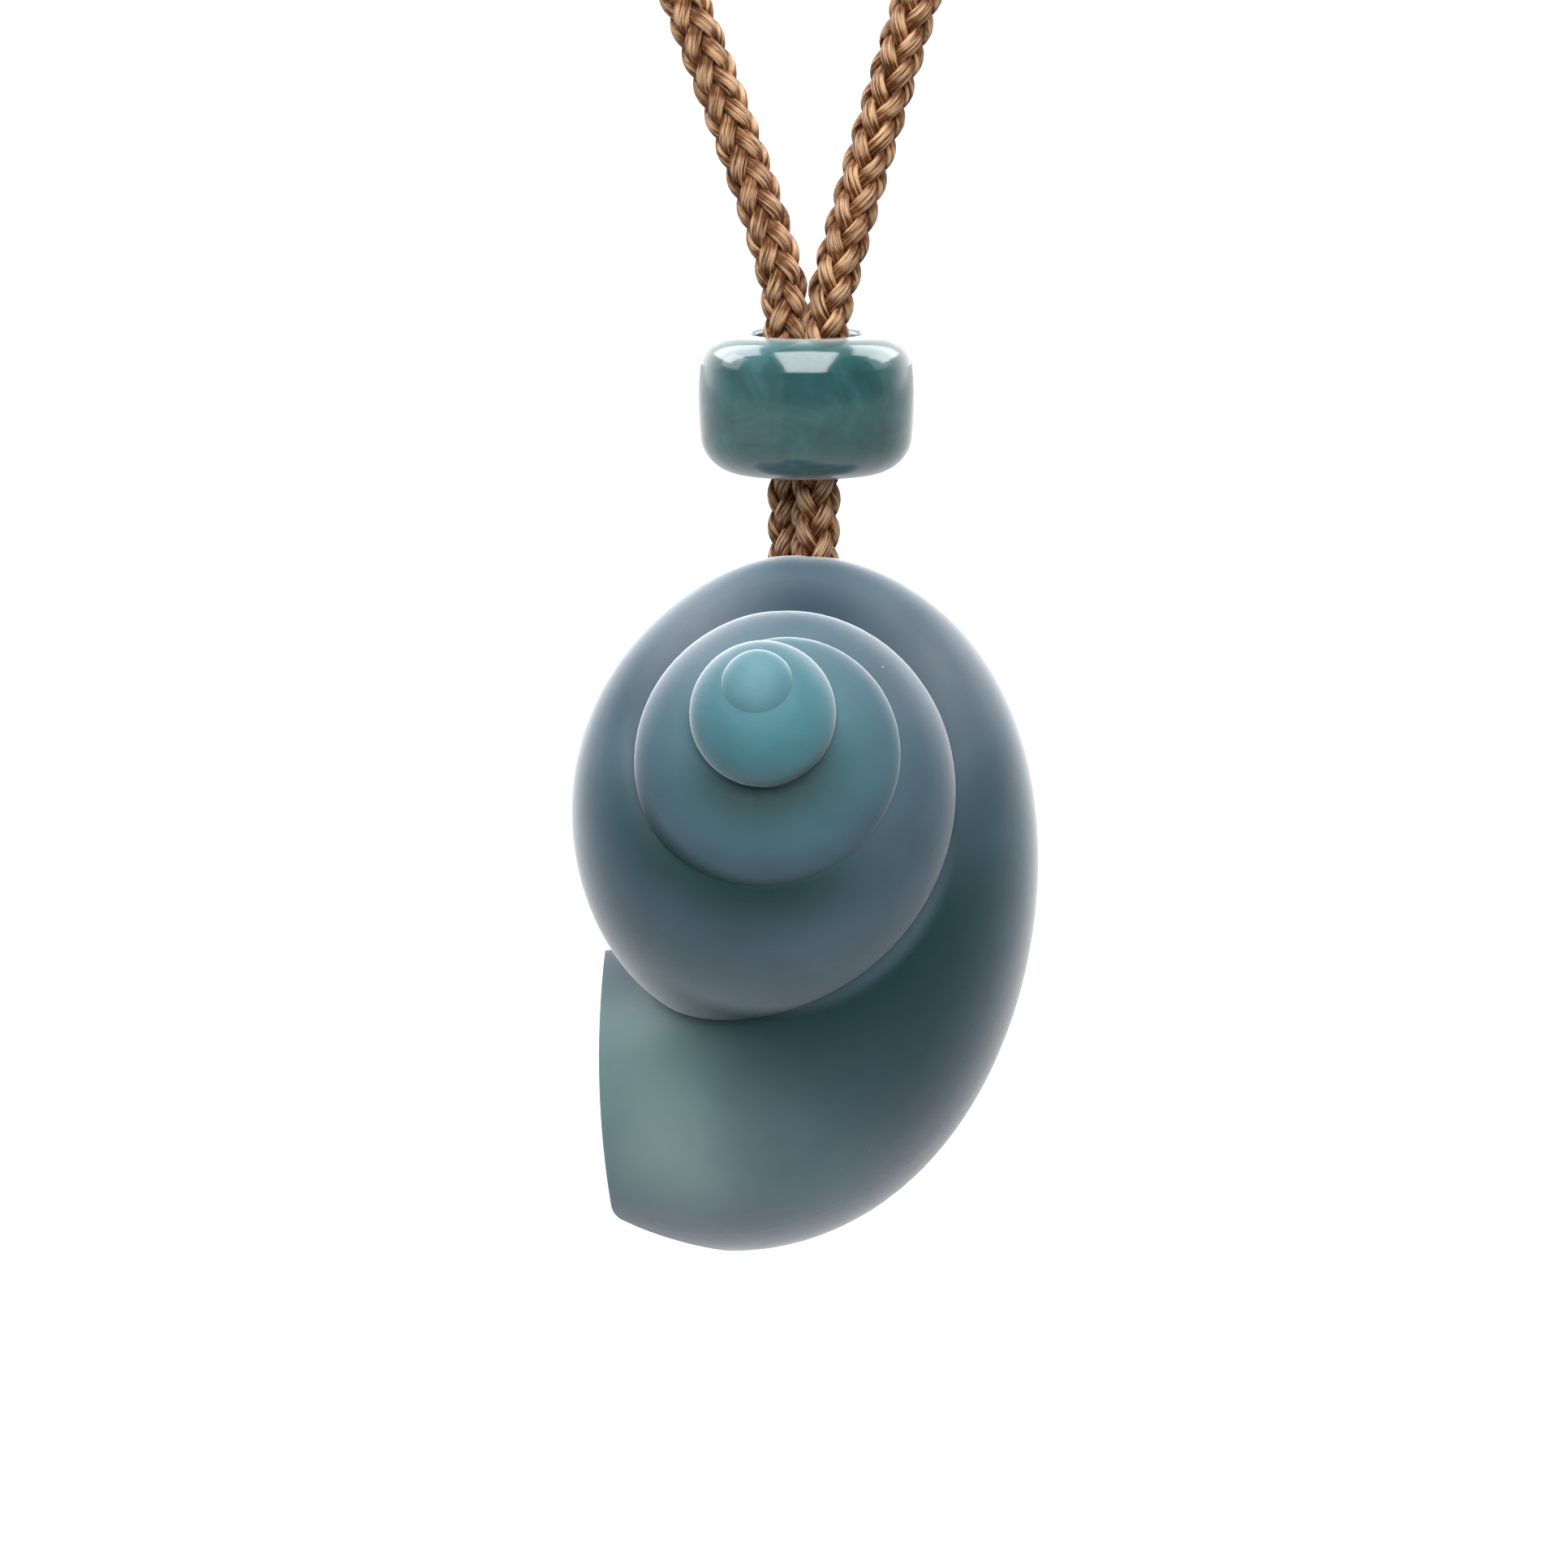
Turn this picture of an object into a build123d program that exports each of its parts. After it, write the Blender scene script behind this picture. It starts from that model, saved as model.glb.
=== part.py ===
from build123d import *
import os
from math import cos, exp, log, pi, radians, sin, tan

os.makedirs("parts", exist_ok=True)

# A carved snail shell and a rondelle bead on one braided cord. Millimetres, X to the right,
# Y away from the viewer, Z up. The origin is the top of the neck loop, where the cord lies
# on the nape, and everything hangs below it.

# Cord
cord_diameter = 2.1
strand_gap = 0.06  # between the two strands where they run side by side
pair_turn = -64.0  # direction of the nearer, right-hand strand seen from above, from +X

# Bead
neck_drop = 256.0  # from the nape to the bead's top
bead_height = 6.1
bead_bulge = 0.35  # how far the side stands out past the ends' corners
bead_top_round = 1.5
bead_bottom_round = 1.9
bead_bore_slack = 0.26  # between the pair of strands and the bore's wall
bead_wall = 2.31  # from the bore's wall out to the bead's widest line
bead_bore_round = 0.35
bead_shift = 0.12  # the bead hangs this much to the right of the pair

# Shell, a spiral of whorls that winds down clockwise from the apex, seen from the apex. It is
# laid out round in a frame that looks straight at the apex side, with its zero at the pair of
# strands and the bead's top, then flattened along that line of sight and tipped into place.
shell_gap = 3.4  # from the bead's underside to the rim of the shell's bore
sight_drop = 6.5  # the line of sight comes from this much above the level
flatness = 0.6  # depth kept along the line of sight
apex_right = -1.31
apex_front = 12.6  # before the flattening
apex_down = 15.9
axis_rise = 22.9  # how far the coiling axis points up from the line of sight
axis_swing = -2.0  # and how far to the right
whorl_reach = 7.0  # from the coiling axis to the middle of the last section
whorl_drop = 28.6  # from the apex down the axis to the middle of the last section
whorl_half_width = 6.16
whorl_half_height = 11.2
section_lean = -7.4
mouth_turn = 112.0  # where the last section stands, clockwise from +X
spiral_turns = 3.6
last_stretch = 0.54  # turns of it next to the mouth, lofted in one piece
inner_lofts = 6  # and pieces that the rest is lofted in

# Sizes along the spiral as shares of those of the last section, a row for each place, counted
# in turns inwards from the mouth
whorl_rows = [
    # turns_in, reach, drop, half_width, half_height
    (-0.25, 1.23, 1.19, 1.31, 0.394),
    (0, 1.00, 1.00, 1.05, 1.00),
    (0.25, 0.820, 0.853, 0.775, 1.30),
    (0.5, 0.925, 0.731, 0.787, 1.33),
    (0.75, 0.743, 0.622, 0.641, 1.02),
    (1, 0.686, 0.517, 0.607, 0.821),
    (1.25, 0.593, 0.371, 0.576, 0.545),
    (1.5, 0.536, 0.273, 0.536, 0.379),
    (1.75, 0.460, 0.217, 0.475, 0.268),
    (2, 0.468, 0.200, 0.505, 0.212),
    (2.5, 0.331, 0.124, 0.366, 0.150),
    (3, 0.215, 0.098, 0.215, 0.140),
    (4, 0.160, 0.085, 0.130, 0.109),
]
pillar_places = [3.4, 2.5, 1.6, 0.9, 0.5]  # turns in from the mouth, where it has its rounds
pillar_share = 1.0  # radius of the pillar along the axis, as a share of the local reach
eye_radius = 3.15  # of the ball that fills the eye of the spiral
eye_right = -1.75
eye_behind = 1.9  # behind the apex
eye_down = 16.45
dome_radius = 1.6  # of the ball at the spiral's start
dome_right = -1.96
dome_ahead = 0.1  # in front of the apex
dome_down = 15.3

# Mouth, cut by a large cylinder whose axis runs away from the viewer
mouth_overrun = 0.183  # turns that the winding runs on before it is cut
lip_left = 8.85  # the lip's outermost line, left of the pair of strands
lip_curve = 42.0
lip_down = 31.2  # the lip's outermost point, below the bead's top
underside_curve = 16.0  # of the underside where it meets the lip
underside_right = -1.05  # of that curve's lowest point
underside_down = 39.9
lip_foot_round = 0.9  # of the corner between them
lip_wall = 1.2
hollow_overrun = 0.02  # turns that the hollow runs on past the uncut end
hollow_turns = 0.2  # how far the hollow goes in

# Bore and the knot's pocket, which opens at the back
bore_slack = 0.1
bore_depth = 8.2  # from the rim down to the knot's axis
pocket_radius = 3.5
pocket_front = 3.7  # the pocket's floor, in front of the pair's middle

# Stopper knot, three wraps of the same cord round the ends' join
knot_wraps = 3
wrap_pitch = 1.95
wrap_radius = 1.4
core_inset = 0.3  # of the core, in from the outer wraps' faces
knot_end_gap = 0.1  # from each cord end to the crown of its wrap

# Route of the cord: distance to the right, distance back and height above the bead's top,
# from the bead up on the right, over the nape and down on the left
neck_route = [
    (0.47, -0.97, -1.2),
    (1.97, -0.90, 4.8),
    (4.63, -0.75, 13.8),
    (9.65, -0.45, 29.8),
    (20.3, -0.15, 61.0),
    (36.4, 0.0, 110.0),
    (48.3, 0.0, 159.0),
    (51.6, 0.0, 201.0),
    (51.2, 0.0, 222.0),
    (32.3, 0.0, 249.3),
    (0.3, 0.0, 259.31),
    (-31.9, 0.0, 249.7),
    (-51.3, 0.0, 222.6),
    (-52.0, 0.0, 199.0),
    (-47.6, 0.0, 152.5),
    (-35.8, 0.0, 102.5),
    (-19.6, 0.15, 52.5),
    (-9.49, 0.45, 25.5),
    (-3.98, 0.75, 11.5),
    (-1.32, 0.90, 4.0),
    (-0.47, 0.97, 0.0),
]
edge_radius = 12.0  # of the bends at the bead's bore, where the strands part

bead_top = -neck_drop
bead_bottom = bead_top - bead_height
bore_rim = bead_bottom - shell_gap
knot_height = bore_rim - bore_depth
pair_half = (cord_diameter + strand_gap) / 2
strand_right = Vector(pair_half * cos(radians(pair_turn)), pair_half * sin(radians(pair_turn)), 0)
strand_left = -strand_right


def slope(column, row):
    """How steeply the logarithm of a column changes at a row, from the rows on either side."""
    before, after = whorl_rows[max(row - 1, 0)], whorl_rows[min(row + 1, len(whorl_rows) - 1)]
    return (log(after[column]) - log(before[column])) / (after[0] - before[0])


def share(column, turns_in):
    """A column of whorl_rows that many turns in, on one smooth curve of its logarithm."""
    row = max(i for i in range(len(whorl_rows) - 1) if i == 0 or whorl_rows[i][0] <= turns_in)
    start, end = whorl_rows[row], whorl_rows[row + 1]
    span = end[0] - start[0]
    t = (turns_in - start[0]) / span
    return exp(
        (1 + 2 * t) * (1 - t) ** 2 * log(start[column])
        + t**2 * (3 - 2 * t) * log(end[column])
        + t * (1 - t) ** 2 * span * slope(column, row)
        - t**2 * (1 - t) * span * slope(column, row + 1)
    )


rise = radians(axis_rise)
swing = radians(axis_swing)
coil_axis = Vector(sin(swing) * cos(rise), -cos(swing) * cos(rise), sin(rise))
coil_right = (Vector(1, 0, 0) - coil_axis * coil_axis.X).normalized()
coil = Plane(origin=(apex_right, -apex_front, -apex_down), x_dir=coil_right, z_dir=coil_axis)


def section_plane(turns_in):
    """The whorl's section that many turns in from the mouth, square to the winding."""
    turn = radians(mouth_turn) - 2 * pi * turns_in
    outwards = Vector(cos(turn), -sin(turn), 0)
    onwards = Vector(-sin(turn), -cos(turn), 0)
    lean = radians(section_lean)
    across = outwards * cos(lean) + Vector(0, 0, 1) * sin(lean)
    middle = outwards * (whorl_reach * share(1, turns_in)) - Vector(0, 0, whorl_drop * share(2, turns_in))
    return Plane(coil.location * Plane(origin=middle, x_dir=across, z_dir=onwards).location)


def whorl_sections(first, last, wall=0.0, steps=6):
    """Sections of the winding between two places, counted in turns in from the mouth."""
    sections = []
    for i in range(steps + 1):
        turns_in = first + (last - first) * i / steps
        with BuildSketch(section_plane(turns_in)) as section:
            Ellipse(
                whorl_half_width * share(3, turns_in) - wall,
                whorl_half_height * share(4, turns_in) - wall / flatness,
            )
        sections.append(section.sketch)
    return sections


def pillar_rings(places):
    """Rounds square to the coiling axis, one for each number of turns in."""
    rings = []
    for turns_in in places:
        with BuildSketch(coil.offset(-whorl_drop * share(2, turns_in))) as ring:
            Circle(whorl_reach * share(1, turns_in) * pillar_share)
        rings.append(ring.sketch)
    return rings


# Winding of the shell, seen straight from the apex side
with BuildPart() as winding:
    # the stretch next to the mouth, cut by the lip and hollowed
    loft(whorl_sections(last_stretch, -mouth_overrun, steps=8), clean=False)
    lip_middle = (lip_curve - lip_left, -lip_down)
    with BuildSketch(Plane.XZ) as mouth_limit:
        with Locations(lip_middle):
            Circle(lip_curve)
        with Locations((underside_right, underside_curve - underside_down)):
            Circle(underside_curve, mode=Mode.INTERSECT)
        # in and out again, which rounds the corners
        offset(amount=-lip_foot_round)
        offset(amount=lip_foot_round)
    extrude(amount=60, both=True, mode=Mode.INTERSECT)
    loft(whorl_sections(hollow_turns, -mouth_overrun - hollow_overrun, lip_wall), clean=False, mode=Mode.SUBTRACT)
    # the inner whorls, which wall off the hollow's inner side
    loft_turns = (spiral_turns - last_stretch) / inner_lofts
    for i in range(inner_lofts):
        place = spiral_turns - i * loft_turns
        loft(whorl_sections(place, place - loft_turns), clean=False)
    loft(pillar_rings(pillar_places), clean=False)
    with Locations((eye_right, -apex_front + eye_behind, -eye_down)):
        Sphere(eye_radius)
    with Locations((dome_right, -apex_front - dome_ahead, -dome_down)):
        Sphere(dome_radius)
    scale(by=(1, flatness, 1))

# Shell
with BuildPart() as shell:
    add(winding.part.moved(Location((0, 0, bead_top), (-sight_drop, 0, 0))))
    # the bore for the pair of strands, and the knot's pocket
    with BuildSketch(Plane.XY.offset(knot_height)):
        SlotCenterToCenter(2 * pair_half, cord_diameter + 2 * bore_slack, rotation=pair_turn)
    extrude(amount=bead_bottom - knot_height, mode=Mode.SUBTRACT)
    with BuildSketch(Plane.XZ.offset(pocket_front)):
        with Locations((0, knot_height)):
            Circle(pocket_radius)
    extrude(amount=-40, mode=Mode.SUBTRACT)
shell.part.label = "shell"
export_step(shell.part, "parts/shell.step")

# Bead
with BuildPart() as bead:
    with BuildSketch(Plane.XZ) as bead_profile:
        with BuildLine():
            bore_radius = pair_half + cord_diameter / 2 + bead_bore_slack
            bead_edge = bore_radius + bead_wall
            top_inner = (bore_radius, bead_top)
            top_outer = (bead_edge - bead_bulge, bead_top)
            bottom_outer = (bead_edge - bead_bulge, bead_bottom)
            bottom_inner = (bore_radius, bead_bottom)
            Line(top_inner, top_outer)
            ThreePointArc(top_outer, (bead_edge, (bead_top + bead_bottom) / 2), bottom_outer)
            Line(bottom_outer, bottom_inner)
            Line(bottom_inner, top_inner)
        make_face()
        for corner, rounding in (
            (top_inner, bead_bore_round),
            (top_outer, bead_top_round),
            (bottom_outer, bead_bottom_round),
            (bottom_inner, bead_bore_round),
        ):
            fillet(bead_profile.vertices().sort_by_distance(corner)[0], rounding)
    revolve(axis=Axis.Z)
bead.part.locate(Location((bead_shift, 0, 0)))
bead.part.label = "bead"
export_step(bead.part, "parts/bead.step")

# Cord, from the knot up through shell and bead, round the neck and back
cord_end = Vector(0, 0, knot_height + wrap_radius + cord_diameter / 2 + knot_end_gap)
route = [strand_right + cord_end]
route += [Vector(right, back, bead_top + height) for right, back, height in neck_route]
route += [strand_left + cord_end]
runs = [(end - start).length for start, end in zip(route, route[1:])]
bends = [radians((b - a).get_angle(c - b)) for a, b, c in zip(route, route[1:], route[2:])]
bend_radii = [0.45 * min(p, q) / tan(bend / 2) for p, q, bend in zip(runs, runs[1:], bends)]
bend_radii[0] = min(bend_radii[0], edge_radius)
bend_radii[-1] = min(bend_radii[-1], edge_radius)
with BuildPart() as cord:
    with BuildLine() as cord_path:
        FilletPolyline(*route, radius=bend_radii)
    with BuildSketch(Plane(origin=cord_path.line @ 0, z_dir=cord_path.line % 0)):
        Circle(cord_diameter / 2)
    sweep(path=cord_path.line)
cord.part.label = "cord"
export_step(cord.part, "parts/cord.step")

# Stopper knot: plain wraps side by side, and the core they are tied round
strand_way = strand_right.normalized()
knot_plane = Plane(
    origin=(0, 0, knot_height), x_dir=strand_way, z_dir=strand_way.cross(Vector(0, 0, 1))
)
with BuildPart() as stopper_knot:
    with BuildSketch(knot_plane):
        middles = [((i - (knot_wraps - 1) / 2) * wrap_pitch, wrap_radius) for i in range(knot_wraps)]
        with Locations(*middles):
            Circle(cord_diameter / 2)
        with Locations((0, wrap_radius / 2)):
            Rectangle(knot_wraps * wrap_pitch - 2 * core_inset, wrap_radius)
        split(bisect_by=Plane(origin=knot_plane.origin, z_dir=knot_plane.y_dir))
    revolve(axis=Axis(knot_plane.origin, strand_way))
stopper_knot.part.label = "stopper_knot"
export_step(stopper_knot.part, "parts/stopper_knot.step")

cord_length = cord_path.wires()[0].length
print("bend radii", [round(radius, 1) for radius in bend_radii])
print("cord", cord_length, cord.part.volume, cord_length * pi * (cord_diameter / 2) ** 2)
for piece in (shell, bead, cord, stopper_knot):
    print(piece.part.label, len(piece.part.solids()), piece.part.volume, piece.part.bounding_box())
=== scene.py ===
from math import cos, pi, radians, sin

import bpy
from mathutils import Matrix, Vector


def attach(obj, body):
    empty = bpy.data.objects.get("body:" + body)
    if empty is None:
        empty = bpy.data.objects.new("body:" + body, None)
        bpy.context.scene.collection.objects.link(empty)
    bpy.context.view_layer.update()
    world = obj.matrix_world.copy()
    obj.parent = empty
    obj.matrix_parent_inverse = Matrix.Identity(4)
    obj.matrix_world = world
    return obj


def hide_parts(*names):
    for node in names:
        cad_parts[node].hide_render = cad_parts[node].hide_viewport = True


# Looks of the shell pendant: a carved jade snail shell and a polished bead on a braided cord.
# Metres, in the CAD frame: X to the right, Y away from the viewer, Z up.

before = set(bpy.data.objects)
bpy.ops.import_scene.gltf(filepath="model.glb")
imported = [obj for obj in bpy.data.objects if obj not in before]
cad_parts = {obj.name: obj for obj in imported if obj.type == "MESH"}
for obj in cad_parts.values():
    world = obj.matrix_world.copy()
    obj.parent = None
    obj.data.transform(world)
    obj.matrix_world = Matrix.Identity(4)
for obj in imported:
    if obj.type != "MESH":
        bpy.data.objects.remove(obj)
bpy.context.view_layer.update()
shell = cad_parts["shell"]
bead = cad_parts["bead"]

# Camera, as the photograph was taken
SIGHT_DROP = radians(6.5)  # the line of sight comes from this much above the level
PHOTO_SIDE = 1932 * 0.035e-3  # the photograph's width at the pendant
CAMERA_TARGET = Vector((-0.00084, -0.0022, -0.27534))
CAMERA_DISTANCE = 1.2
SENSOR = 36.0

# Studio
FLOOR_HEIGHT = -0.8
FLOOR_SIDE = 24.0
AIR_STRENGTH = 1.3
PENDANT = (0.0, 0.0, -0.28)
UNDER_WASH = (0.0, 5.0, FLOOR_HEIGHT)
WHITE = (1.0, 1.0, 1.0)
COOL_WHITE = (0.96, 0.97, 1.0)
SKY_WHITE = (0.90, 0.96, 1.0)
LIGHTS = [
    # name, place, aim, width and height, watts, colour
    ("top_softbox", (0.0, -0.20, 0.0), PENDANT, (0.30, 0.44), 2.0, WHITE),
    ("top_left_panel", (-0.24, 0.12, -0.03), PENDANT, (0.26, 0.26), 0.85, COOL_WHITE),
    ("top_right_panel", (0.24, 0.12, -0.03), PENDANT, (0.26, 0.26), 0.75, WHITE),
    ("left_side_panel", (-0.32, 0.03, -0.10), PENDANT, (0.18, 0.18), 0.16, WHITE),
    ("right_side_panel", (0.32, 0.03, -0.10), PENDANT, (0.18, 0.18), 0.08, WHITE),
    ("left_softbox", (-0.8, -0.6, 0.0), PENDANT, (1.2, 1.2), 0.8, SKY_WHITE),
    ("floor_wash", (0.0, 5.0, 1.0), UNDER_WASH, (3.0, 4.0), 90.0, WHITE),
]

# The cord's route, in metres: to the right, back, and height above the bead's top
BEAD_TOP = -0.256
ROUTE = [
    (0.0004734, -0.0009707, -0.01515),
    (0.00047, -0.00097, -0.0012),
    (0.00197, -0.00090, 0.0048),
    (0.00463, -0.00075, 0.0138),
    (0.00965, -0.00045, 0.0298),
    (0.0203, -0.00015, 0.0610),
    (0.0364, 0.0, 0.1100),
    (0.0483, 0.0, 0.1590),
    (0.0516, 0.0, 0.2010),
    (0.0512, 0.0, 0.2220),
    (0.0323, 0.0, 0.2493),
    (0.0003, 0.0, 0.25931),
    (-0.0319, 0.0, 0.2497),
    (-0.0513, 0.0, 0.2226),
    (-0.0520, 0.0, 0.1990),
    (-0.0476, 0.0, 0.1525),
    (-0.0358, 0.0, 0.1025),
    (-0.0196, 0.00015, 0.0525),
    (-0.00949, 0.00045, 0.0255),
    (-0.00398, 0.00075, 0.0115),
    (-0.00132, 0.00090, 0.0040),
    (-0.00047, 0.00097, 0.0),
    (-0.0004734, 0.0009707, -0.01515),
]
NEAR_LENGTH = 0.060  # finely braided stretch at each end of the cord

# Braid: six strands each way, over two and under two
BRAID = {
    "Strands Each Way": 6,
    "Turn Length": 0.0084,
    "Braid Radius": 0.00062,
    "Weave Depth": 0.00026,
    "Float Straightening": 0.08,
    "Strand Width": 0.00076,
    "Strand Thickness": 0.00038,
    "Core Radius": 0.00052,
}
NEAR_DETAIL = {"Points per Turn": 44, "Profile Points": 10}
FAR_DETAIL = {"Points per Turn": 20, "Profile Points": 6}
KNOT_DETAIL = {"Points per Turn": 30, "Profile Points": 8}
CORE_PROFILE_POINTS = 12
LINE_RESOLUTION = 32  # points of the smooth line for each point of the route

# Stopper knot: the same cord, wound on the line of the two strands
KNOT_MIDDLE = Vector((0.0, 0.0, -0.2737))
KNOT_WAY = Vector((cos(radians(-64.0)), sin(radians(-64.0)), 0.0))
KNOT_RADIUS = 0.0014
KNOT_HALF_LENGTH = 0.00195
KNOT_TURNS = 2.0
KNOT_POINTS_PER_TURN = 14
KNOT_END = 1.0  # past the end of its line, so that all of it is wound


def add_node(tree, kind, inputs=None, **settings):
    """A node with its settings, and its inputs wired or set."""
    node = tree.nodes.new(kind)
    for name, value in settings.items():
        setattr(node, name, value)
    for socket, value in (inputs or {}).items():
        if isinstance(value, bpy.types.NodeSocket):
            tree.links.new(value, node.inputs[socket])
        else:
            node.inputs[socket].default_value = value
    return node


def math(tree, operation, *values):
    node = add_node(tree, "ShaderNodeMath", dict(enumerate(values)), operation=operation)
    return node.outputs[0]


def vector_math(tree, operation, *values):
    node = add_node(tree, "ShaderNodeVectorMath", dict(enumerate(values)), operation=operation)
    return node.outputs["Value" if operation == "DOT_PRODUCT" else "Vector"]


def scaled(tree, vector, factor):
    node = add_node(tree, "ShaderNodeVectorMath", {"Vector": vector, "Scale": factor}, operation="SCALE")
    return node.outputs["Vector"]


def new_material(name):
    material = bpy.data.materials.new(name)
    material.use_nodes = True
    return material, material.node_tree, material.node_tree.nodes["Principled BSDF"]


def color_ramp(tree, factor, stops, interpolation="LINEAR"):
    """A ramp from (place, colour) rows."""
    node = add_node(tree, "ShaderNodeValToRGB", {"Fac": factor})
    node.color_ramp.interpolation = interpolation
    elements = node.color_ramp.elements
    while len(elements) < len(stops):
        elements.new(0.5)
    for element, (place, color) in zip(elements, stops):
        element.position = place
        element.color = (*color, 1.0)
    return node.outputs["Color"]


def noise(tree, vector, scale, detail=2.0, roughness=0.5, distortion=0.0):
    sizes = {"Scale": scale, "Detail": detail, "Roughness": roughness, "Distortion": distortion}
    return add_node(tree, "ShaderNodeTexNoise", {"Vector": vector, **sizes}).outputs["Fac"]


def map_range(tree, value, low, high, to_low=0.0, to_high=1.0, smooth=True):
    node = add_node(
        tree,
        "ShaderNodeMapRange",
        {"Value": value, "From Min": low, "From Max": high, "To Min": to_low, "To Max": to_high},
        interpolation_type="SMOOTHSTEP" if smooth else "LINEAR",
    )
    return node.outputs["Result"]


def mix_colors(tree, factor, first, second, blend="MIX"):
    node = add_node(tree, "ShaderNodeMix", data_type="RGBA", blend_type=blend)
    for socket, value in ((0, factor), (6, first), (7, second)):
        if isinstance(value, bpy.types.NodeSocket):
            tree.links.new(value, node.inputs[socket])
        else:
            node.inputs[socket].default_value = value if socket == 0 else (*value, 1.0)
    return node.outputs[2]


# Coloured clouds in the shell, and patches of painted light and shade, laid over each other in this order
CLOUDS_AND_PAINTED_LIGHT = [
    # middle, reach, tint, strength, fineness
    # Painted shade: darker at the top middle, where the top light falls.
    ((0.0006, -0.0030, -0.2667), 0.0052, (0.022, 0.058, 0.088), 0.35, 130.0),
    # Painted light: a paler patch at the upper left.
    ((-0.0048, -0.0040, -0.2683), 0.0052, (0.200, 0.235, 0.270), 0.80, 130.0),
    # Painted light: a paler patch at the upper right.
    ((0.0066, -0.0040, -0.2695), 0.0062, (0.180, 0.215, 0.245), 0.75, 130.0),
    # Painted shade over the lower right, and the stone more teal there.
    ((0.0068, -0.0035, -0.2875), 0.0095, (0.022, 0.072, 0.090), 1.00, 130.0),
    # Painted shade: a darker patch on the left, below an inner whorl's lower edge.
    ((-0.0052, -0.0050, -0.2815), 0.0035, (0.038, 0.082, 0.110), 0.60, 130.0),
    # Lighter and bluer towards the bottom.
    ((-0.0007, -0.0020, -0.2925), 0.0065, (0.115, 0.215, 0.250), 0.75, 150.0),
    ((-0.0012, -0.0100, -0.2728), 0.0074, (0.100, 0.325, 0.375), 0.85, 150.0),
    # Painted highlight on the tip of the apex.
    ((-0.0020, -0.0107, -0.2703), 0.0024, (0.220, 0.410, 0.480), 0.75, 400.0),
    ((-0.0070, -0.0022, -0.2885), 0.0100, (0.160, 0.268, 0.250), 0.85, 170.0),
    ((-0.0058, -0.0020, -0.2922), 0.0055, (0.310, 0.430, 0.430), 0.75, 170.0),
]

# Painted shade, deep green, under the whorls, in bands round circles that the camera sees,
# with their middles measured from the bead's top
SUTURE_SHADE = [
    # right, up, radius, width outwards, direction of the deepest place from +X, strength
    (-0.00145, -0.02145, 0.0080, 0.0046, -58.0, 1.00),
    (-0.00157, -0.01815, 0.0057, 0.0030, -108.0, 1.00),
    (-0.00199, -0.01600, 0.0037, 0.0030, -80.0, 0.92),
]


def nearness(tree, position, middle, reach):
    """1 at a place on the piece, falling to 0 at its reach."""
    away = add_node(tree, "ShaderNodeVectorMath", {0: position, 1: middle}, operation="DISTANCE")
    return map_range(tree, away.outputs["Value"], reach, 0.0)


def painted_rim_glow(tree, base, narrowness):
    """Painted rim glow: paler, then near-white colour where the surface turns away from the viewer,
    standing in for light glancing off and shining through its edges.
    """
    edge = add_node(tree, "ShaderNodeLayerWeight", {"Blend": 0.5}).outputs["Facing"]
    base = mix_colors(tree, math(tree, "POWER", edge, narrowness), base, (0.47, 0.50, 0.55))
    return mix_colors(tree, math(tree, "POWER", edge, 5.5), base, (0.92, 0.91, 0.93))


def suture_shade(tree, position):
    """Painted shade: strongest right under the lower edges of the whorls, 0 outwards, up their sides and
    behind.
    """
    sight = add_node(
        tree,
        "ShaderNodeVectorRotate",
        {"Vector": position, "Center": (0.0, 0.0, BEAD_TOP), "Angle": SIGHT_DROP},
        rotation_type="X_AXIS",
    ).outputs["Vector"]
    sight = vector_math(tree, "SUBTRACT", sight, (0.0, 0.0, BEAD_TOP))
    back = add_node(tree, "ShaderNodeSeparateXYZ", {"Vector": position}).outputs["Y"]
    flat = vector_math(tree, "MULTIPLY", sight, (1.0, 0.0, 1.0))
    shade = 0.0
    for right, up, radius, width, deepest, strength in SUTURE_SHADE:
        spoke = vector_math(tree, "SUBTRACT", flat, (right, 0.0, up))
        reach = add_node(tree, "ShaderNodeVectorMath", {0: spoke}, operation="LENGTH").outputs["Value"]
        outside = map_range(tree, reach, radius + width, radius)
        inside = map_range(tree, reach, radius - 0.0005, radius + 0.0002)
        way = (cos(radians(deepest)), 0.0, sin(radians(deepest)))
        turned = vector_math(tree, "DOT_PRODUCT", vector_math(tree, "NORMALIZE", spoke), way)
        band = math(tree, "MULTIPLY", outside, inside)
        band = math(tree, "MULTIPLY", band, map_range(tree, turned, 0.2, 1.0, 0.0, strength))
        shade = math(tree, "MAXIMUM", shade, band)
    return math(tree, "MULTIPLY", shade, map_range(tree, back, -0.0005, -0.0025))


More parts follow.
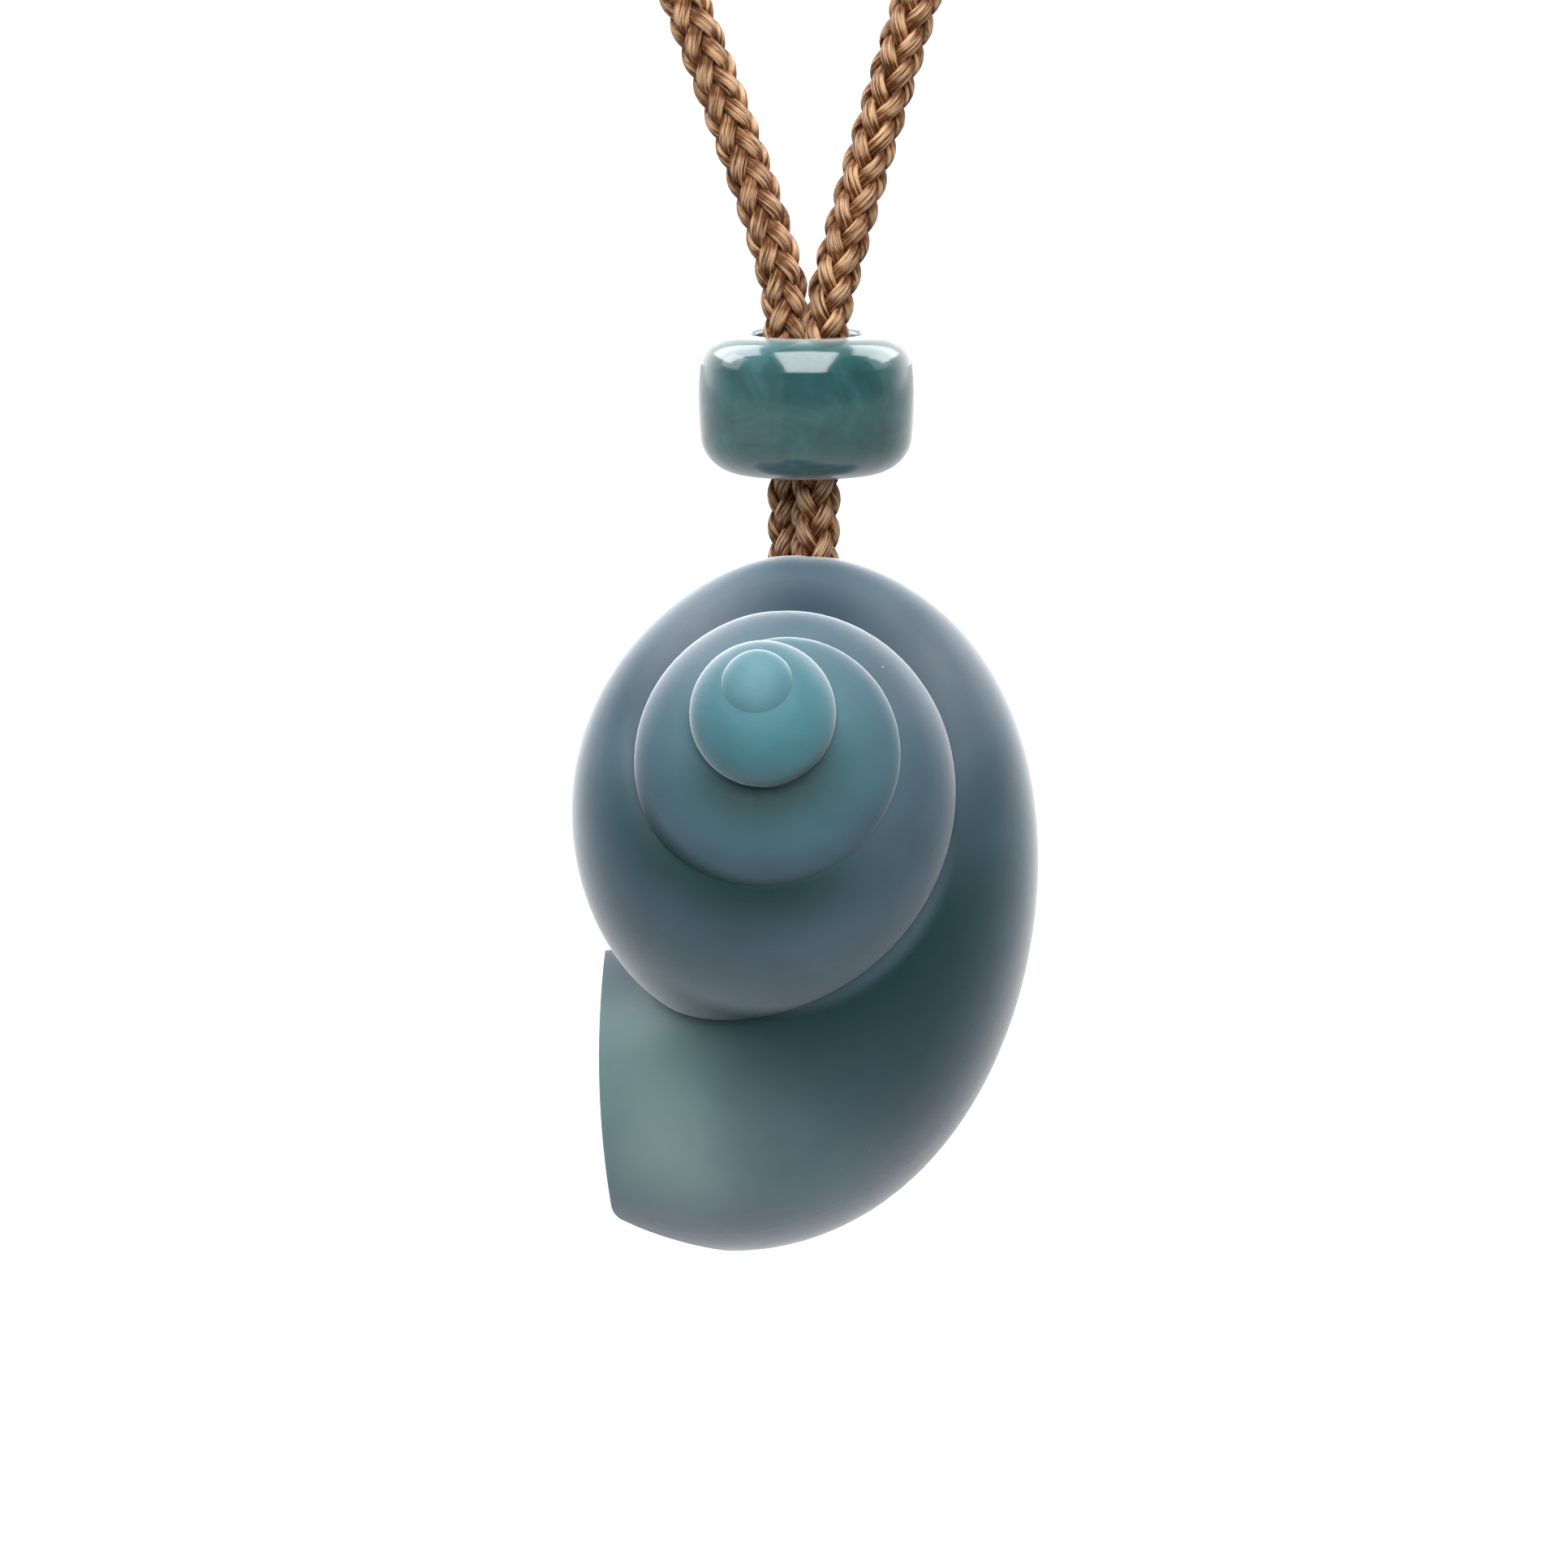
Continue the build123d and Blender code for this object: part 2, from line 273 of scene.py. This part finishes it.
def shell_stone():
    """Satin jade: blue-green, more cyan at the apex, paler and greener by the lip, with a painted rim
    glow, painted shade under the whorls and patches of painted light and shade.
    """
    material, tree, surface = new_material("satin_jade")
    position = add_node(tree, "ShaderNodeTexCoord").outputs["Object"]
    clouds = noise(tree, position, 130.0, 3.0, 0.5, 0.5)
    base = color_ramp(
        tree,
        clouds,
        [(0.30, (0.057, 0.096, 0.124)), (0.50, (0.070, 0.118, 0.152)), (0.70, (0.088, 0.146, 0.184))],
    )
    # Stone clouds, and the patches of painted light and shade from the table
    for middle, reach, tint, strength, scale in CLOUDS_AND_PAINTED_LIGHT:
        veil = map_range(tree, noise(tree, position, scale, 4.0, 0.5, 0.4), 0.30, 0.65, 0.65, 1.0)
        cloud_and_painted_light = math(tree, "MULTIPLY", nearness(tree, position, middle, reach), veil)
        base = mix_colors(tree, math(tree, "MULTIPLY", cloud_and_painted_light, strength), base, tint)
    specks = map_range(tree, noise(tree, position, 1900.0, 0.0), 0.88, 0.93)
    base = mix_colors(tree, math(tree, "MULTIPLY", specks, 0.5), base, (0.45, 0.50, 0.48))
    # Painted rim glow: paler where the shell turns away from the viewer.
    base = painted_rim_glow(tree, base, 2.5)
    # Painted shade, deep green, under the lower edges of the whorls.
    base = mix_colors(tree, suture_shade(tree, position), base, (0.010, 0.046, 0.047))
    tree.links.new(base, surface.inputs["Base Color"])
    grain = noise(tree, position, 2600.0, 3.0)
    tree.links.new(map_range(tree, grain, 0.3, 0.7, 0.46, 0.56), surface.inputs["Roughness"])
    bump = add_node(tree, "ShaderNodeBump", {"Height": grain, "Strength": 0.05, "Distance": 0.0001})
    tree.links.new(bump.outputs["Normal"], surface.inputs["Normal"])
    surface.inputs["IOR"].default_value = 1.60
    surface.inputs["Specular IOR Level"].default_value = 0.2
    surface.inputs["Subsurface Weight"].default_value = 0.4
    surface.inputs["Subsurface Radius"].default_value = (0.5, 1.0, 1.0)
    surface.inputs["Subsurface Scale"].default_value = 0.0012
    return material


def bead_stone():
    """Polished jade of a deeper green, with a painted rim glow."""
    material, tree, surface = new_material("polished_jade")
    position = add_node(tree, "ShaderNodeTexCoord").outputs["Object"]
    clouds = noise(tree, position, 420.0, 4.0, 0.6, 0.8)
    base = color_ramp(
        tree,
        clouds,
        [(0.32, (0.020, 0.078, 0.078)), (0.52, (0.030, 0.105, 0.108)), (0.72, (0.054, 0.150, 0.160))],
    )
    # Painted rim glow: paler towards the bead's outline.
    tree.links.new(painted_rim_glow(tree, base, 3.8), surface.inputs["Base Color"])
    surface.inputs["Roughness"].default_value = 0.16
    surface.inputs["IOR"].default_value = 1.66
    surface.inputs["Subsurface Weight"].default_value = 0.25
    surface.inputs["Subsurface Radius"].default_value = (0.5, 1.0, 1.0)
    surface.inputs["Subsurface Scale"].default_value = 0.0012
    surface.inputs["Coat Weight"].default_value = 0.85
    surface.inputs["Coat Roughness"].default_value = 0.10
    return material


def cord_fibre():
    """Satin brown fibres that run along each strand of the braid, with painted shade where strands dive
    under and a painted highlight where they lie on top.
    """
    material, tree, surface = new_material("braided_fibre")
    weave = add_node(tree, "ShaderNodeAttribute", attribute_name="weave").outputs["Vector"]
    parts = add_node(tree, "ShaderNodeSeparateXYZ", {"Vector": weave})
    across, along, strand = parts.outputs
    across = math(tree, "MULTIPLY", across, 5.0)
    along = math(tree, "MULTIPLY", along, 900.0)
    strand = math(tree, "MULTIPLY", strand, 7.3)
    spot = add_node(tree, "ShaderNodeCombineXYZ", {"X": across, "Y": along, "Z": strand}).outputs["Vector"]
    fibres = noise(tree, spot, 1.0, 3.0, 0.6)
    base = color_ramp(
        tree,
        fibres,
        [(0.32, (0.042, 0.013, 0.004)), (0.52, (0.150, 0.050, 0.016)), (0.68, (0.620, 0.320, 0.150))],
    )
    crest = add_node(tree, "ShaderNodeAttribute", attribute_name="crest").outputs["Fac"]
    # Painted shade where each strand dives under the strands that cross it.
    base = mix_colors(tree, map_range(tree, crest, 0.25, -0.7), base, (0.028, 0.011, 0.005))
    # Painted highlight, cream, along each strand where it lies on top.
    painted_highlight = math(tree, "MULTIPLY", map_range(tree, crest, 0.55, 1.0), map_range(tree, fibres, 0.35, 0.6))
    base = mix_colors(tree, math(tree, "MULTIPLY", painted_highlight, 0.7), base, (0.80, 0.52, 0.31))
    tree.links.new(base, surface.inputs["Base Color"])
    bump = add_node(tree, "ShaderNodeBump", {"Height": fibres, "Strength": 0.6, "Distance": 0.00006})
    tree.links.new(bump.outputs["Normal"], surface.inputs["Normal"])
    surface.inputs["Roughness"].default_value = 0.38
    surface.inputs["Specular IOR Level"].default_value = 0.2
    surface.inputs["Specular Tint"].default_value = (1.0, 0.80, 0.60, 1.0)
    return material


def give(piece, material):
    piece.data.materials.clear()
    piece.data.materials.append(material)


def braid_tree(material):
    """Strands braided over two and under two round the line that they follow."""
    tree = bpy.data.node_groups.new("braid", "GeometryNodeTree")
    tree.interface.new_socket("Geometry", in_out="INPUT", socket_type="NodeSocketGeometry")
    tree.interface.new_socket("Geometry", in_out="OUTPUT", socket_type="NodeSocketGeometry")
    for name in (*BRAID, *NEAR_DETAIL, "Start", "End"):
        whole = name in ("Strands Each Way", "Points per Turn", "Profile Points")
        kind = "NodeSocketInt" if whole else "NodeSocketFloat"
        tree.interface.new_socket(name, in_out="INPUT", socket_type=kind)
    size = add_node(tree, "NodeGroupInput").outputs

    # The whole line, with its length so far and its crosswise directions, cut to one stretch
    line = add_node(tree, "GeometryNodeMeshToCurve", {"Mesh": size["Geometry"]}).outputs["Curve"]
    capture = add_node(tree, "GeometryNodeCaptureAttribute", {"Geometry": line}, domain="POINT")
    so_far = add_node(tree, "GeometryNodeSplineParameter").outputs["Length"]
    tangent = add_node(tree, "GeometryNodeInputTangent").outputs["Tangent"]
    normal = add_node(tree, "GeometryNodeInputNormal").outputs["Normal"]
    for kind, name, value in (
        ("FLOAT", "along", so_far),
        ("VECTOR", "side", normal),
        ("VECTOR", "front", vector_math(tree, "CROSS_PRODUCT", tangent, normal)),
    ):
        capture.capture_items.new(kind, name)
        tree.links.new(value, capture.inputs[name])
    along = capture.outputs["along"]
    side = capture.outputs["side"]
    front = capture.outputs["front"]
    stretch = add_node(
        tree,
        "GeometryNodeTrimCurve",
        {0: capture.outputs["Geometry"], 4: size["Start"], 5: size["End"]},
        mode="LENGTH",
    ).outputs["Curve"]
    step = math(tree, "DIVIDE", size["Turn Length"], size["Points per Turn"])
    stretch = add_node(
        tree, "GeometryNodeResampleCurve", {"Curve": stretch, "Length": step}, mode="LENGTH"
    ).outputs["Curve"]

    # A copy of the line for each strand, half of them winding each way
    ways = size["Strands Each Way"]
    copies = add_node(
        tree,
        "GeometryNodeDuplicateElements",
        {"Geometry": stretch, "Amount": math(tree, "MULTIPLY", ways, 2.0)},
        domain="SPLINE",
    )
    strand = copies.outputs["Duplicate Index"]
    back_way = math(tree, "GREATER_THAN", strand, math(tree, "SUBTRACT", ways, 0.5))
    way = math(tree, "MULTIPLY_ADD", back_way, -2.0, 1.0)
    place = math(tree, "FLOORED_MODULO", strand, ways)

    # Crossings passed so far, and the over-and-under wave, four crossings long
    turns = math(tree, "DIVIDE", along, size["Turn Length"])
    crossings = math(tree, "MULTIPLY", math(tree, "MULTIPLY", turns, 2.0), ways)
    shift = math(tree, "MULTIPLY", way, math(tree, "MULTIPLY_ADD", place, 2.0, -0.5))
    phase = math(tree, "MULTIPLY", math(tree, "ADD", crossings, shift), pi / 2)
    over = math(tree, "MULTIPLY", math(tree, "COSINE", phase), way)
    radius = math(tree, "MULTIPLY_ADD", over, size["Weave Depth"], size["Braid Radius"])
    straighten = math(tree, "MULTIPLY", math(tree, "SINE", phase), size["Float Straightening"])
    angle = math(tree, "MULTIPLY", math(tree, "MULTIPLY", turns, way), 2 * pi)
    first_angle = math(tree, "MULTIPLY", math(tree, "DIVIDE", place, ways), 2 * pi)
    angle = math(tree, "SUBTRACT", math(tree, "ADD", angle, first_angle), straighten)
    outward = vector_math(
        tree,
        "ADD",
        scaled(tree, side, math(tree, "COSINE", angle)),
        scaled(tree, front, math(tree, "SINE", angle)),
    )
    strands = add_node(
        tree,
        "GeometryNodeSetPosition",
        {"Geometry": copies.outputs["Geometry"], "Offset": scaled(tree, outward, radius)},
    ).outputs["Geometry"]
    strand_tangent = add_node(tree, "GeometryNodeInputTangent").outputs["Tangent"]
    lean = vector_math(tree, "DOT_PRODUCT", outward, strand_tangent)
    flat_side = vector_math(tree, "SUBTRACT", outward, scaled(tree, strand_tangent, lean))
    strands = add_node(
        tree,
        "GeometryNodeSetCurveNormal",
        {"Curve": strands, "Normal": vector_math(tree, "NORMALIZE", flat_side)},
        mode="FREE",
    ).outputs["Curve"]

    # A flattened strand, and the round core inside the braid
    circle = add_node(
        tree,
        "GeometryNodeCurvePrimitiveCircle",
        {"Resolution": size["Profile Points"], "Radius": 1.0},
        mode="RADIUS",
    ).outputs["Curve"]
    profile = add_node(tree, "GeometryNodeCaptureAttribute", {"Geometry": circle}, domain="POINT")
    profile.capture_items.new("VECTOR", "spot")
    tree.links.new(add_node(tree, "GeometryNodeInputPosition").outputs[0], profile.inputs["spot"])
    across = add_node(tree, "ShaderNodeSeparateXYZ", {"Vector": profile.outputs["spot"]}).outputs["Y"]
    flat = add_node(
        tree,
        "ShaderNodeCombineXYZ",
        {
            "X": math(tree, "MULTIPLY", size["Strand Thickness"], 0.5),
            "Y": math(tree, "MULTIPLY", size["Strand Width"], 0.5),
            "Z": 1.0,
        },
    ).outputs["Vector"]
    section = add_node(
        tree, "GeometryNodeTransform", {"Geometry": profile.outputs["Geometry"], "Scale": flat}
    ).outputs["Geometry"]
    strands = add_node(
        tree,
        "GeometryNodeCurveToMesh",
        {"Curve": strands, "Profile Curve": section, "Fill Caps": True},
    ).outputs["Mesh"]
    core_section = add_node(
        tree,
        "GeometryNodeCurvePrimitiveCircle",
        {"Resolution": CORE_PROFILE_POINTS, "Radius": size["Core Radius"]},
        mode="RADIUS",
    ).outputs["Curve"]
    core = add_node(
        tree,
        "GeometryNodeCurveToMesh",
        {"Curve": stretch, "Profile Curve": core_section, "Fill Caps": True},
    ).outputs["Mesh"]
    weave = add_node(
        tree, "ShaderNodeCombineXYZ", {"X": across, "Y": along, "Z": strand}
    ).outputs["Vector"]
    for name, kind, value in (("weave", "FLOAT_VECTOR", weave), ("crest", "FLOAT", over)):
        strands = add_node(
            tree,
            "GeometryNodeStoreNamedAttribute",
            {"Geometry": strands, "Name": name, "Value": value},
            data_type=kind,
            domain="POINT",
        ).outputs["Geometry"]
    joined = add_node(tree, "GeometryNodeJoinGeometry")
    tree.links.new(core, joined.inputs["Geometry"])
    tree.links.new(strands, joined.inputs["Geometry"])
    whole = add_node(tree, "GeometryNodeRealizeInstances", {"Geometry": joined.outputs["Geometry"]})
    finished = add_node(
        tree,
        "GeometryNodeSetMaterial",
        {"Geometry": whole.outputs["Geometry"], "Material": material},
    )
    result = add_node(tree, "NodeGroupOutput")
    tree.links.new(finished.outputs["Geometry"], result.inputs["Geometry"])
    return tree


def smooth_line(name, points):
    """The points of a smooth curve that has the route's points as its control points."""
    curve = bpy.data.curves.new(name, "CURVE")
    curve.dimensions = "3D"
    curve.resolution_u = LINE_RESOLUTION
    spline = curve.splines.new("NURBS")
    spline.points.add(len(points) - 1)
    for point, place in zip(spline.points, points):
        point.co = (*place, 1.0)
    spline.order_u = 3
    spline.use_endpoint_u = True
    route = bpy.data.objects.new(name, curve)
    bpy.context.scene.collection.objects.link(route)
    bpy.context.view_layer.update()
    line = bpy.data.meshes.new_from_object(route)
    bpy.data.objects.remove(route)
    return line


def braided(name, line, tree, detail, start, end):
    """One stretch of the braid along a line, as a plain mesh."""
    carrier = bpy.data.objects.new(name, line.copy())
    bpy.context.scene.collection.objects.link(carrier)
    modifier = carrier.modifiers.new("braid", "NODES")
    modifier.node_group = tree
    sizes = {**BRAID, **detail, "Start": start, "End": end}
    for socket in tree.interface.items_tree:
        if socket.in_out == "INPUT" and socket.name in sizes:
            modifier[socket.identifier] = sizes[socket.name]
    bpy.context.view_layer.update()
    depsgraph = bpy.context.evaluated_depsgraph_get()
    mesh = bpy.data.meshes.new_from_object(carrier.evaluated_get(depsgraph))
    mesh.name = name
    carrier.modifiers.clear()
    carrier.data = mesh
    return carrier


def line_length(line):
    places = [vertex.co for vertex in line.vertices]
    return sum((b - a).length for a, b in zip(places, places[1:]))


fibre = cord_fibre()
tree = braid_tree(fibre)
cord_line = smooth_line("cord_route", [(x, y, BEAD_TOP + z) for x, y, z in ROUTE])
cord_length = line_length(cord_line)
cord_pieces = [
    braided("cord_right", cord_line, tree, NEAR_DETAIL, 0.0, NEAR_LENGTH),
    braided("cord_left", cord_line, tree, NEAR_DETAIL, cord_length - NEAR_LENGTH, cord_length),
    braided("cord_neck", cord_line, tree, FAR_DETAIL, NEAR_LENGTH, cord_length - NEAR_LENGTH),
]
for piece in cord_pieces:
    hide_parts("cord")
    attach(piece, "pendant")


def knot_points():
    """Down from one strand, round the wraps, and up to the other strand."""
    up = Vector((0.0, 0.0, 1.0))
    across = KNOT_WAY.cross(up)
    count = round(KNOT_TURNS * KNOT_POINTS_PER_TURN)
    points = []
    for i in range(count + 1):
        share = i / count
        angle = 2 * pi * KNOT_TURNS * share
        reach = KNOT_HALF_LENGTH * (1 - 2 * share)
        spoke = up * cos(angle) + across * sin(angle)
        points.append(KNOT_MIDDLE + KNOT_WAY * reach + spoke * KNOT_RADIUS)
    return points


knot_line = smooth_line("knot_route", knot_points())
knot = braided("knot_wraps", knot_line, tree, KNOT_DETAIL, 0.0, KNOT_END)
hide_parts("stopper_knot")
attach(knot, "pendant")

give(shell, shell_stone())
give(bead, bead_stone())


def soft_light(name, place, aim, size, power, color):
    light = bpy.data.lights.new(name, "AREA")
    light.shape = "RECTANGLE"
    light.size, light.size_y = size
    light.energy = power
    light.color = color
    lamp = bpy.data.objects.new(name, light)
    lamp.location = place
    lamp.rotation_euler = (Vector(aim) - Vector(place)).to_track_quat("-Z", "Y").to_euler()
    bpy.context.scene.collection.objects.link(lamp)


def studio_floor():
    half = FLOOR_SIDE / 2
    mesh = bpy.data.meshes.new("studio_floor")
    corners = [(x * half, y * half, FLOOR_HEIGHT) for x, y in ((-1, -1), (1, -1), (1, 1), (-1, 1))]
    mesh.from_pydata(corners, [], [(0, 1, 2, 3)])
    floor = bpy.data.objects.new("studio_floor", mesh)
    bpy.context.scene.collection.objects.link(floor)
    material, tree, surface = new_material("studio_floor")
    surface.inputs["Base Color"].default_value = (0.94, 0.94, 0.94, 1.0)
    surface.inputs["Roughness"].default_value = 0.9
    surface.inputs["Specular IOR Level"].default_value = 0.1
    mesh.materials.append(material)


def studio_air():
    """Bright at the back, dimmer overhead and dim in front, where the camera stands."""
    front_to_back = [
        (0.0, (0.035, 0.038, 0.04)),
        (0.45, (0.045, 0.048, 0.05)),
        (0.62, (0.25, 0.26, 0.27)),
        (0.85, (1.0, 1.0, 1.0)),
    ]
    world = bpy.data.worlds.new("studio_air")
    world.use_nodes = True
    tree = world.node_tree
    air = tree.nodes["Background"]
    way = add_node(tree, "ShaderNodeTexCoord").outputs["Generated"]
    depth = add_node(tree, "ShaderNodeSeparateXYZ", {"Vector": way}).outputs["Y"]
    shade = color_ramp(tree, map_range(tree, depth, -1.0, 1.0, smooth=False), front_to_back)
    tree.links.new(shade, air.inputs["Color"])
    air.inputs["Strength"].default_value = AIR_STRENGTH
    bpy.context.scene.world = world


studio_floor()
studio_air()
for row in LIGHTS:
    soft_light(*row)

camera_data = bpy.data.cameras.new("photo_camera")
camera_data.sensor_width = SENSOR
camera_data.lens = SENSOR * CAMERA_DISTANCE / PHOTO_SIDE
camera = bpy.data.objects.new("photo_camera", camera_data)
camera.location = CAMERA_TARGET + CAMERA_DISTANCE * Vector((0.0, -cos(SIGHT_DROP), sin(SIGHT_DROP)))
camera.rotation_euler = (pi / 2 - SIGHT_DROP, 0.0, 0.0)
bpy.context.scene.collection.objects.link(camera)
bpy.context.scene.camera = camera
bpy.context.scene.view_settings.view_transform = "Standard"
